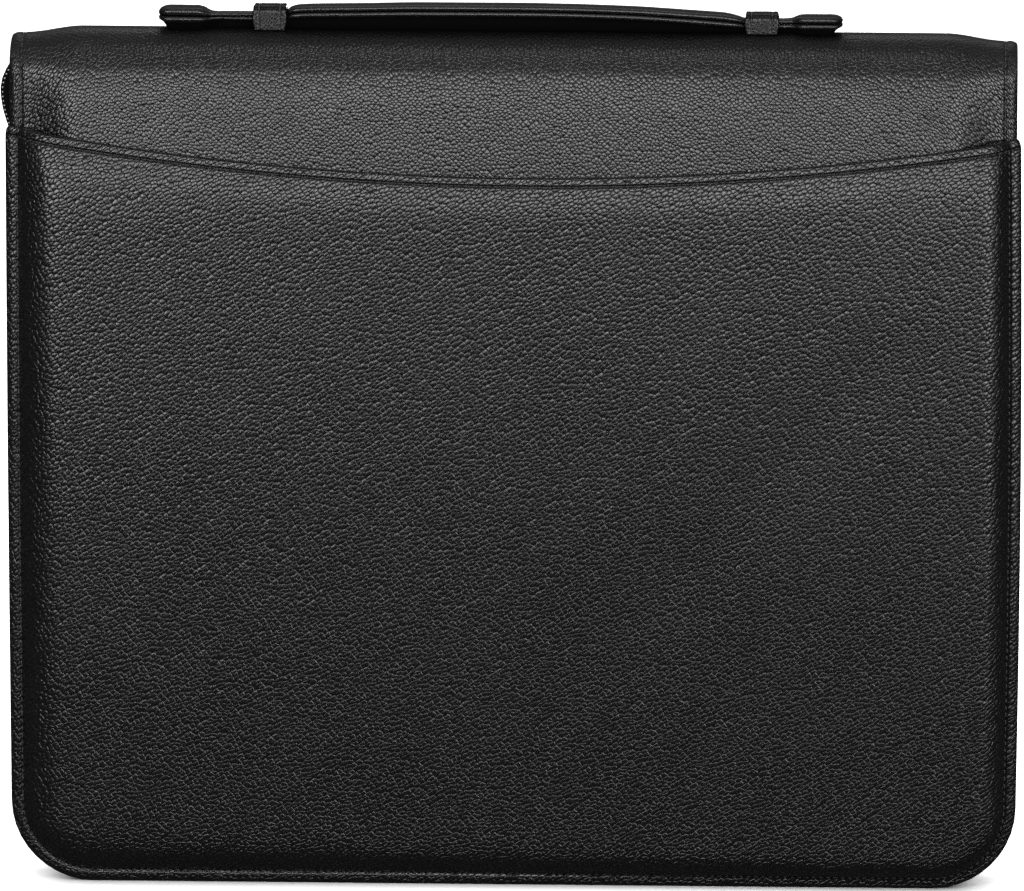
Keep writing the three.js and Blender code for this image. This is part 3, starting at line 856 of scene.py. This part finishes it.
def sew(name, surface, first, second, radius=SEAM["thread"], slant=SEAM["slant"]):
    """Stitches along the flat line (first, second) on a surface function, as one piece."""
    travel = travelled(surface(first, second))
    middles = np.arange(SEAM["pitch"] / 2, travel[-1], SEAM["pitch"])
    step = 0.05
    a, b = read_off(middles, travel, first, second)
    centre = surface(a, b)
    tangent = unit(surface(*read_off(middles + step, travel, first, second)) - centre)
    normal = unit(np.cross(surface(a + step, b) - centre, surface(a, b + step) - centre))
    lean = unit(tangent + slant * np.cross(normal, tangent))
    frames = np.stack([lean, np.cross(normal, lean), normal], 1)
    template = stitch_template(SEAM["length"], radius)
    stitches = centre[:, None, None, :] + np.einsum("rci,nij->nrcj", template, frames)
    points, faces = joined([sweep(stitch) for stitch in stitches])
    return make_piece(name, points, faces, THREAD)


def rim_line(half, radius, start, finish):
    return rim_route(half, radius, SEAM["inset"], start, finish, SEAM_STEP, SEAM_CORNER_STEPS)[:, :2].T


def on_pocket(x, z):
    return pocket_surface(x, z, SEAM_LIFT)


def on_cover(x, along):
    return cover_surface(x, along, SEAM_LIFT)


seam_half = POCKET["half"] - SEAM["inset"]
seam_ends = [hem_height(x) - HEM["stitch_drop"] for x in (-seam_half, seam_half)]
border = rim_line(POCKET["half"], POCKET_CORNER, *seam_ends)
pocket_border = sew("pocket_border_stitches", on_pocket, *border)

hem_x = spaced(-seam_half, (seam_half, SEAM_STEP))
pocket_hem = sew("pocket_hem_stitches", on_pocket, hem_x, hem_height(hem_x) - HEM["stitch_drop"])

HEM_CLEARANCE = 1.5  # from the pocket's hem to the first stitch of the cover's border above it
above_hem = COVER_LENGTH - (hem_height(COVER["half"]) + HEM_CLEARANCE)
border_x, border_up = rim_line(COVER["half"], COVER["corner"], above_hem, above_hem)
sew("cover_border_stitches", on_cover, border_x, COVER_LENGTH - border_up, slant=-SEAM["slant"])

# Handle strap

GRIP_STATION = 80  # station whose section sets the strap's flat layout


def paddle_share(x):
    return smooth((np.abs(x) - PADDLE["from"]) / PADDLE["reach"])


def tip_distance(x):
    """Distance from the nearer end of the strap."""
    return np.minimum(x - STRAP_START, STRAP_END - x)


def strap_half(x):
    """Half width of the strap with its rounded ends."""
    share = 1 - np.clip(tip_distance(x) / STRAP_TIP["length"], 0, 1)
    power = STRAP_TIP["power"]
    return curve_through(STRAP_X, STRAP_HALF, x) * np.maximum(1 - share**power, 0.002) ** (1 / power)


def strap_levels(x, upper):
    """Lower and upper face of a ply at x."""
    ply = curve_through(STRAP_X, STRAP_PLY, x)
    low = COVER["height"] + curve_through(STRAP_X, STRAP_RISE, x)
    if upper:
        low = low + ply + GAP / 2
    else:
        thinned = PADDLE["thinning"] * ply * paddle_share(x)
        low = low + thinned
        ply = ply - thinned
    faces = (STRAP_TIP["inner"], STRAP_TIP["outer"])
    inner, outer = (edge_round(tip_distance(x), length, share * ply) for length, share in faces)
    if upper:
        return low + inner, low + ply - outer
    return low + outer, low + ply - inner


def strap_fall(y, half, upper):
    """How far a ply's upper face falls from its middle: softly crowned, with grooves on the upper ply."""
    fall = STRAP_CROWN * np.clip(np.abs(y) / np.maximum(half, 0.1), 0, 1) ** 2
    groove = STRAP_SEAM["groove"] * bump(np.abs(y), half - STRAP_SEAM["inset"], STRAP_SEAM["width"])
    return fall + groove * (upper & (half > GROOVED_HALF))


def strap_shade_filler(x, y, half, low):
    """How far the black filler, which stands in for the shadow under the strap, reaches down from the lower
    ply towards the spine.
    """
    spine_radius = EDGE_DEPTH + COVER["spine_padding"]
    spine_z = SPINE_Z + np.sqrt(spine_radius**2 - y**2) + spine_lean(x)
    ends = smooth((tip_distance(x) - CORE["tip_from"]) / CORE["tip_reach"])
    core = between(CORE["share"], PADDLE["share"], paddle_share(x))
    sides = 1 - smooth((np.abs(y) / half - core + CORE["blend"]) / CORE["blend"])
    return np.maximum(low - spine_z - CORE["clearance"], 0) * ends * sides


def strap_ply(name, upper, node):
    ends = spaced(0.0, (1.5, 0.15), (STRAP_TIP["length"], 0.6))
    middle = spaced(STRAP_START + STRAP_TIP["length"], (STRAP_END - STRAP_TIP["length"], 1.2))
    x = np.concatenate([STRAP_START + ends, middle[1:-1], (STRAP_END - ends)[::-1]])[:, None]
    half = strap_half(x)
    low, high = strap_levels(x, upper)
    tall = (high - low) / 2
    radius = np.minimum(tall, 0.9 * half)
    flat_half = half - radius
    across = np.linspace(-1, 1, 25) * flat_half
    arc = np.linspace(-QUARTER, QUARTER, 11)[1:-1]
    side_y = flat_half + radius * np.cos(arc)
    side_z = tall * np.sin(arc)
    middle_z = (low + high) / 2
    under_z = low + 0 * across
    if not upper:
        under_z = under_z - strap_shade_filler(x, across, half, low)
    y = np.concatenate([side_y, -across, -side_y, across], 1)
    over_z = high - strap_fall(across, half, upper)
    z = np.concatenate([middle_z + side_z, over_z, middle_z - side_z, under_z], 1)
    corners = y.shape[1]
    stations = np.stack([np.repeat(x, corners, 1), MIDDLE_Y + y, z], -1)
    points, faces = sweep(stations)
    around = travelled(stations[GRIP_STATION])
    flat = flat_grid(x, around[None, :])
    made = make_piece(name, points, faces, STRAP_LEATHER, flat, [node])
    if not upper:
        # The underside and the black filler under the lower ply get the near-black, unreflecting material:
        # painted shade.
        made.data.materials.append(PAINTED_SHADE_BLACK)
        underside = corners - across.shape[1]
        for polygon in made.data.polygons[: (len(x) - 1) * corners]:
            polygon.material_index = int(polygon.index % corners >= underside - 1)


strap_ply("handle_strap_lower", False, "handle_lower")
strap_ply("handle_strap_upper", True, "handle_upper")


def on_strap(x, y):
    """Upper face of the upper ply, just above its surface."""
    _, high = strap_levels(x, True)
    z = high - strap_fall(y - MIDDLE_Y, strap_half(x), True)
    return np.stack([x, y, z + STRAP_SEAM["lift"]], -1)


for side, sign in (("front", -1), ("back", 1)):
    line_x = spaced(STRAP_START + STRAP_SEAM["end"], (STRAP_END - STRAP_SEAM["end"], 1.0))
    line_y = MIDDLE_Y + sign * (strap_half(line_x) - STRAP_SEAM["inset"])
    sew(f"handle_stitches_{side}", on_strap, line_x, line_y, STRAP_SEAM["thread"])

# Handle loops


def spine_height(x, y):
    """Height of the spine's surface at x and a depth from its middle, found by repeated steps."""
    angle = QUARTER
    for _ in range(12):
        radius = EDGE_DEPTH + padding(SPINE_Z + angle * EDGE_DEPTH)
        angle = math.acos(min(1.0, abs(y) / radius))
    return SPINE_Z + radius * math.sin(angle) + spine_lean(x)


def loop_route(x, top):
    """Middle line of a loop from its front foot over the strap to its back foot: y, z, outward y and z."""
    depth = LOOP["half_depth"] - LOOP["wall"] / 2
    high = COVER["height"] + top - LOOP["wall"] / 2
    bend = LOOP["round"] - LOOP["wall"] / 2
    foot = spine_height(x, depth) + LOOP["foot_gap"]
    front = [(-depth, z, -1.0, 0.0) for z in spaced(foot, (high - bend, 0.5))]
    for angle in np.linspace(0, QUARTER, 9)[1:-1]:
        out_y = -math.cos(angle)
        out_z = math.sin(angle)
        front.append((bend - depth + bend * out_y, high - bend + bend * out_z, out_y, out_z))
    over = [(y, high, 0.0, 1.0) for y in spaced(-(depth - bend), (depth - bend, 0.7))]
    back = [(-y, z, -out_y, out_z) for y, z, out_y, out_z in reversed(front)]
    return np.array(front + over + back)


def loop_width(route):
    """Half width of a loop along its route: widest at half height, drawn in at the feet."""
    foot = route[0, 1]
    top = route[:, 1].max()
    rise = (route[:, 1] - foot) / (top - foot)
    drawn_in = LOOP["drawn_in"] * (1 - smooth(rise / 0.5))
    return LOOP["width"] / 2 * (1 - drawn_in - LOOP["crown"] * smooth((rise - 0.6) / 0.4))


def loop_section(half):
    """Section of a loop at each station: places across it and out from its middle line."""
    radius = LOOP["edge"]
    thick = LOOP["wall"] / 2
    flat_half = half - radius
    corner = np.linspace(0, QUARTER, 5)
    run = np.linspace(-1, 1, 44)[1:-1] * flat_half
    groove = LOOP_SEAM["groove"] * bump(np.abs(run), LOOP_SEAM["offset"], LOOP_SEAM["width"])
    across = []
    out = []
    for turn, (side, face) in enumerate(((1, 1), (-1, 1), (-1, -1), (1, -1))):
        angle = corner + turn * QUARTER
        across.append(side * flat_half + radius * np.cos(angle))
        out.append(face * (thick - radius) + radius * np.sin(angle) + 0 * across[-1])
        if turn == 0:
            across.append(-run)
            out.append(thick - groove)
        if turn == 2:
            across.append(run)
            out.append(0 * run - thick)
    return np.concatenate(across, 1), np.concatenate(out, 1)


def loop_piece(side, x, top):
    route = loop_route(x, top)
    across, out = loop_section(loop_width(route)[:, None])
    y, z = off_route(route, out)
    points, faces = sweep(np.stack([x + across, MIDDLE_Y + y, z], -1))
    travel = travelled(route[:, :2])
    flat = flat_grid(across + LOOP_SHIFT + x, travel[:, None])
    node = f"handle_loop_{side}"
    make_piece(f"handle_loop_leather_{side}", points, faces, LOOP_LEATHER, flat, [node])
    stitch_level = LOOP["wall"] / 2 - LOOP_SEAM["sunk"]

    def on_loop(first, second):
        line_y, line_z, out_y, out_z = read_off(second, travel, *route.T)
        y = MIDDLE_Y + line_y + stitch_level * out_y
        return np.stack([first, y, line_z + stitch_level * out_z], -1)

    along = spaced(LOOP_SEAM["end"], (travel[-1] - LOOP_SEAM["end"], 1.0))
    for row, offset in (("outer", -1), ("inner", 1)):
        line_x = np.full(len(along), x + offset * LOOP_SEAM["offset"])
        sew(f"handle_loop_stitches_{side}_{row}", on_loop, line_x, along, LOOP_SEAM["thread"], 0.0)


for entry in LOOPS:
    loop_piece(**entry)

# Zip

GIRTH_STATION = 60  # station whose section sets a tape's flat width


def zip_route(step):
    """Stations of the zip from the top left, under the case, to the top right."""
    corner_steps = int((COVER["corner"] - ZIP["inset"]) * QUARTER / step)
    return rim_route(COVER["half"], COVER["corner"], ZIP["inset"], ZIP_TOP, ZIP_TOP, step, corner_steps)


def zip_bulge(route):
    """How far the chain stands out of its line at each station."""
    above = route[:, 1] > ZIP["bulge_height"]
    reach = np.where(above, ZIP["bulge_above"], ZIP["bulge_below"])
    share = np.minimum(1, np.abs(route[:, 1] - ZIP["bulge_height"]) / reach)
    return np.where(route[:, 0] < 0, ZIP["bulge"] * np.cos(share * QUARTER) ** 2, 0)[:, None]


def tape_piece(name, sign, node):
    """One tape: it runs from the chain to the border, turns in and lies under the border."""
    route = zip_route(2.5)
    rise = np.maximum(0, route[:, 1:2] - SPINE_Z)
    sewn = np.sqrt(TAPE_DEPTH**2 - rise**2) - ZIP["tape_clearance"]
    start = ZIP["chain_width"] / 2 - ZIP["tape_overlap"]
    thick = ZIP["tape"] / 2
    turn = np.minimum(ZIP["tape_turn"], (sewn - start) / 2)
    run = np.linspace(0, 1, 9)
    arc = np.linspace(0, QUARTER, 6)[1:]
    leg = np.linspace(0, 1, 4)[1:]
    straight = sewn - thick - turn - start
    y = np.concatenate([
        start + straight * run,
        start + straight + turn * np.sin(arc),
        np.repeat(sewn - thick, len(leg), 1),
    ], 1)
    out = np.concatenate([
        np.zeros((len(route), len(run))),
        -turn * (1 - np.cos(arc)),
        -turn - (ZIP["seam"] - turn) * leg,
    ], 1)
    lean = np.cos(np.clip((y - start) / (sewn - start), 0, 1) * QUARTER) ** ZIP["tape_lean"]
    out = out + zip_bulge(route) * lean
    slope_y = np.gradient(y, axis=1)
    slope_out = np.gradient(out, axis=1)
    size = np.maximum(np.hypot(slope_y, slope_out), 1e-9)
    shift_y = -slope_out / size * thick
    shift_out = slope_y / size * thick
    ring_y = np.concatenate([y + shift_y, (y - shift_y)[:, ::-1]], 1)
    ring_out = np.concatenate([out + shift_out, (out - shift_out)[:, ::-1]], 1)
    x, z = off_route(route, ring_out)
    stations = np.stack([x, MIDDLE_Y + sign * ring_y, z], -1)
    width = travelled(np.stack([y[GIRTH_STATION], out[GIRTH_STATION]], -1))
    across = np.concatenate([width, width[::-1]])
    if sign < 0:
        stations = stations[:, ::-1]
        across = across[::-1]
    points, faces = sweep(stations)
    travel = travelled(route[:, :2])
    flat = flat_grid(travel[:, None], across[None, :])
    made = make_piece(name, points, faces, TAPE, flat, [node])


tape_piece("zip_tape_front_weave", -1, "zip_tape_front")
tape_piece("zip_tape_back_weave", 1, "zip_tape_back")


def tooth_template():
    """One coil tooth along its own axis: a rounded bar with a thicker head."""
    along = np.linspace(0, 1, 9)[:, None]
    turn = turns(8)
    ends = np.sqrt(np.maximum(1 - np.abs(2 * along - 1) ** 6, 0.03))
    head = smooth((TOOTH["head"] - along) / TOOTH["blend"])
    x = (TOOTH["wide"] + TOOTH["head_wide"] * head) * ends * np.cos(turn)
    z = (TOOTH["tall"] + TOOTH["head_tall"] * head) * ends * np.sin(turn)
    return np.stack([x, np.repeat(along, len(turn), 1), z], -1)


def chain_line():
    """Middle line of the chain: its points, lengths along it, outward and forward directions."""
    route = zip_route(1.0)
    x, z = off_route(route, zip_bulge(route))
    centre = np.concatenate([x, np.full_like(x, MIDDLE_Y), z], 1)
    forward = unit(np.gradient(centre, axis=0))
    outward = unit(np.cross(forward, DEPTH))
    facing = np.sign(outward[:, 0] * route[:, 2] + outward[:, 2] * route[:, 3])
    return centre, travelled(centre), outward * facing[:, None], forward


def teeth_piece(centre, travel, outward, forward):
    """Teeth of both sides, set alternately along the chain."""
    template = tooth_template()
    line = (centre, outward, forward)
    half = ZIP["chain_width"] / 2
    teeth = []
    for sign, first in ((-1, 0.25), (1, 0.75)):
        reach = sign * (half - template[..., 1:2] * (half + TOOTH_OVERLAP))
        for where in np.arange(first * ZIP["pitch"], travel[-1] - 0.5, ZIP["pitch"]):
            place, out, ahead = (np.array(read_off(where, travel, *rows.T)) for rows in line)
            tooth = place + template[..., 0:1] * unit(ahead) + reach * DEPTH + template[..., 2:3] * unit(out)
            teeth.append(sweep(tooth[:, ::-1] if sign > 0 else tooth))
    points, faces = joined(teeth)
    make_piece("zip_teeth", points, faces, COIL, None, ["zip_chain"])


def core_piece(centre, travel, outward):
    """Cord strip behind the teeth."""
    wide, tall = CHAIN_CORE
    turn = turns(12)
    every = slice(0, None, 3)
    stations = np.stack([
        centre[every] + wide * math.cos(a) * DEPTH + tall * math.sin(a) * outward[every] for a in turn
    ], 1)
    points, faces = sweep(stations)
    flat = flat_grid(travel[every][:, None], (turn * (wide + tall) / 2)[None, :])
    make_piece("zip_chain_core", points, faces, TAPE, flat)


*chain, chain_forward = chain_line()
teeth_piece(*chain, chain_forward)
core_piece(*chain)


def slider_plate(outline, holes, level, thickness, round_over):
    """Plate in the YZ plane from an outline of (y, z) points, its edges rounded over."""
    shape = bpy.data.curves.new("slider_shape", "CURVE")
    shape.dimensions = "2D"
    shape.fill_mode = "BOTH"
    shape.extrude = (thickness / 2 - round_over) * MM
    shape.bevel_depth = round_over * MM
    shape.bevel_resolution = 2
    shape.offset = -round_over * MM
    for ring in [outline, *holes]:
        spline = shape.splines.new("POLY")
        spline.points.add(len(ring) - 1)
        for point, (y, z) in zip(spline.points, ring):
            point.co = (y * MM, z * MM, 0, 1)
        spline.use_cyclic_u = True
    holder = show("slider_shape", shape)
    seen = holder.evaluated_get(bpy.context.evaluated_depsgraph_get())
    mesh = bpy.data.meshes.new_from_object(seen)
    local = np.empty(len(mesh.vertices) * 3)
    mesh.vertices.foreach_get("co", local)
    local = local.reshape(-1, 3) / MM
    faces = [list(face.vertices) for face in mesh.polygons]
    bpy.data.objects.remove(holder)
    bpy.data.curves.remove(shape)
    bpy.data.meshes.remove(mesh)
    return np.stack([level + thickness / 2 + local[:, 2], local[:, 0], local[:, 1]], -1), faces


def rounded_outline(width_low, width_high, low, high, radius):
    """Rounded outline in (y, z), tapering from its lower width to its upper width."""
    centres = [
        (width_high / 2 - radius, high - radius, 0.0),
        (-width_high / 2 + radius, high - radius, 90.0),
        (-width_low / 2 + radius, low + radius, 180.0),
        (width_low / 2 - radius, low + radius, 270.0),
    ]
    points = []
    for y, z, start in centres:
        for angle in np.radians(np.linspace(start, start + 90, 9)):
            points.append((MIDDLE_Y + y + radius * math.cos(angle), z + radius * math.sin(angle)))
    return points


def slider_piece():
    """Slider body, bail and pull tab inside the CAD slider's space."""
    level, _, low = slider_low
    depth = slider_high[0] - level
    top = slider_high[2]
    hole_z = low + 4.9
    hole_radius = 1.5
    hole = [(MIDDLE_Y + hole_radius * math.cos(a), hole_z + hole_radius * math.sin(a)) for a in turns(24)]
    # Body, bail and pull tab: outline, holes, level, thickness, rounding of the edges.
    plates = [
        (rounded_outline(6.2, 8.4, top - 11.0, top, 2.0), [], level, 1.7, 0.5),
        (rounded_outline(2.6, 2.6, top - 6.5, top - 1.0, 1.0), [], level + 1.2, depth - 1.2, 0.3),
        (rounded_outline(6.0, 4.2, low, top - 2.4, 1.6), [hole], level + 1.9, depth - 2.0, 0.35),
    ]
    points, faces = joined([slider_plate(*plate) for plate in plates])
    make_piece("zip_slider_enamel", points, faces, METAL, None, ["zip_slider"])


slider_piece()

# Floor, light and camera


def stage_floor():
    mesh = bpy.data.meshes.new("floor")
    size = 8.0
    corners = [(-size, -size, 0), (size, -size, 0), (size, size, 0), (-size, size, 0)]
    mesh.from_pydata(corners, [], [(0, 1, 2, 3)])
    mesh.materials.append(FLOOR)
    floor = show("floor", mesh)
    floor.visible_glossy = False


def placed(right, back, place):
    """Matrix of a light or camera that looks away from back."""
    rows = np.eye(4)
    rows[:3] = np.stack([right, np.cross(back, right), back, place], 1)
    return Matrix(rows.tolist())


def area_light(name, place, aim, width, height, power, mirrored=True):
    """Soft rectangular light at a place in metres, turned towards aim."""
    data = bpy.data.lights.new(name, "AREA")
    data.shape = "RECTANGLE"
    data.size = width
    data.size_y = height
    data.energy = power
    light = show(name, data)
    back = unit(np.array(place, float) - np.array(aim, float))
    right = unit(np.cross([0.0, 0.0, 1.0], back)) if abs(back[2]) < 0.999 else np.array([1.0, 0.0, 0.0])
    light.matrix_world = placed(right, back, place)
    light.visible_camera = False
    light.visible_glossy = mirrored


def studio():
    """Pale surroundings, brighter overhead, and the lights."""
    world = bpy.data.worlds.new("studio")
    world.use_nodes = True
    tree = world.node_tree
    up = shade(tree, "SeparateXYZ", {"Vector": shade(tree, "TexCoord")["Generated"]})["Z"]
    strength = spread(tree, up, 0.1, 0.7, 0.04, 0.14)
    fill(tree, tree.nodes["Background"], {"Color": grey(1.0), "Strength": strength})
    bpy.context.scene.world = world
    bpy.context.scene.view_settings.view_transform = "Standard"
    for light in LIGHTS:
        area_light(*light)


def photo_camera():
    azimuth = math.radians(CAMERA["azimuth"])
    elevation = math.radians(CAMERA["elevation"])
    right = np.array([math.cos(azimuth), math.sin(azimuth), 0.0])
    flat_back = np.array([math.sin(azimuth), -math.cos(azimuth), 0.0])
    back = flat_back * math.cos(elevation) + np.array([0, 0, math.sin(elevation)])
    eye = (np.array(CAMERA["aim"]) + CAMERA["distance"] * back) * MM
    data = bpy.data.cameras.new("photo_camera")
    data.sensor_width = CAMERA["sensor"]
    data.lens = CAMERA["focal_px"] * CAMERA["sensor"] / CAMERA["image_px"]
    data.clip_end = 50.0
    camera = show("photo_camera", data)
    camera.matrix_world = placed(right, back, eye)
    bpy.context.scene.camera = camera


stage_floor()
studio()
photo_camera()
